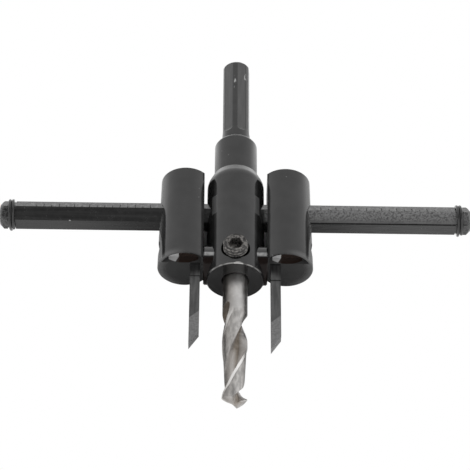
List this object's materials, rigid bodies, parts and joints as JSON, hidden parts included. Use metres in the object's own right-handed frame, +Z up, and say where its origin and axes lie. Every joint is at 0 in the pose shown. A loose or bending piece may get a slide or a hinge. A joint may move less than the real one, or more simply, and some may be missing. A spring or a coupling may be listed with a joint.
{
  "type": "adjustable circle cutter",
  "caption": "Adjustable circle cutter: hub with hexagonal drive shank, pilot twist drill and a cross bar on which clamped holders with flat-bar cutters slide.",
  "frame": {"origin": "on the surface the tool lies on, under the middle of its bounding box", "axes": "+X along the cross bar, +Y from the drill's point to the drive shank, +Z up, out of the front with the drill's clamping screw"},
  "size_m": [0.1548, 0.1434, 0.0211],
  "materials": {
    "black_steel": "black oxide, glossy",
    "bar_steel": "black oxide, satin",
    "ring_wire": "black oxide, satin",
    "screw_steel": "black oxide, oiled",
    "cutter_steel": "dark, ground at the tip",
    "drill_steel": "bright ground"
  },
  "bodies": {
    "hub": {"hub_body": "black_steel", "cross_bar": "bar_steel", "left_stop_ring": "ring_wire", "right_stop_ring": "ring_wire"},
    "pilot_drill": {"pilot_drill": "drill_steel"},
    "drill_set_screw": {"drill_set_screw": "screw_steel"},
    "left_holder": {"left_holder": "black_steel"},
    "left_bar_screw": {"left_bar_screw": "screw_steel"},
    "left_cutter": {"left_cutter": "cutter_steel"},
    "left_cutter_screw": {"left_cutter_screw": "screw_steel"},
    "right_holder": {"right_holder": "black_steel"},
    "right_bar_screw": {"right_bar_screw": "screw_steel"},
    "right_cutter": {"right_cutter": "cutter_steel"},
    "right_cutter_screw": {"right_cutter_screw": "screw_steel"}
  },
  "joints": [
    {"name": "pilot_drill_slide", "type": "slide", "parent": "hub", "child": "pilot_drill", "axis": [0, -1, 0], "range_m": [0, 0.01]},
    {"name": "drill_set_screw_turn", "type": "hinge", "parent": "hub", "child": "drill_set_screw", "pos_m": [0, -0.01638, 0.0094], "axis": [0, 0, 1], "range_deg": [-540, 0]},
    {"name": "left_holder_slide", "type": "slide", "parent": "hub", "child": "left_holder", "axis": [-1, 0, 0], "range_m": [0, 0.047]},
    {"name": "left_bar_screw_turn", "type": "hinge", "parent": "left_holder", "child": "left_bar_screw", "pos_m": [-0.0165, 0.00352, 0.0094], "axis": [0, 1, 0], "range_deg": [-540, 0]},
    {"name": "left_cutter_slide", "type": "slide", "parent": "left_holder", "child": "left_cutter", "axis": [0, -1, 0], "range_m": [0, 0.005]},
    {"name": "left_cutter_screw_turn", "type": "hinge", "parent": "left_holder", "child": "left_cutter_screw", "pos_m": [-0.0165, -0.01087, 0.0094], "axis": [-1, 0, 0], "range_deg": [-540, 0]},
    {"name": "right_holder_slide", "type": "slide", "parent": "hub", "child": "right_holder", "axis": [1, 0, 0], "range_m": [0, 0.047]},
    {"name": "right_bar_screw_turn", "type": "hinge", "parent": "right_holder", "child": "right_bar_screw", "pos_m": [0.0165, 0.00352, 0.0094], "axis": [0, 1, 0], "range_deg": [-540, 0]},
    {"name": "right_cutter_slide", "type": "slide", "parent": "right_holder", "child": "right_cutter", "axis": [0, -1, 0], "range_m": [0, 0.005]},
    {"name": "right_cutter_screw_turn", "type": "hinge", "parent": "right_holder", "child": "right_cutter_screw", "pos_m": [0.0165, -0.01087, 0.0094], "axis": [1, 0, 0], "range_deg": [-540, 0]}
  ]
}
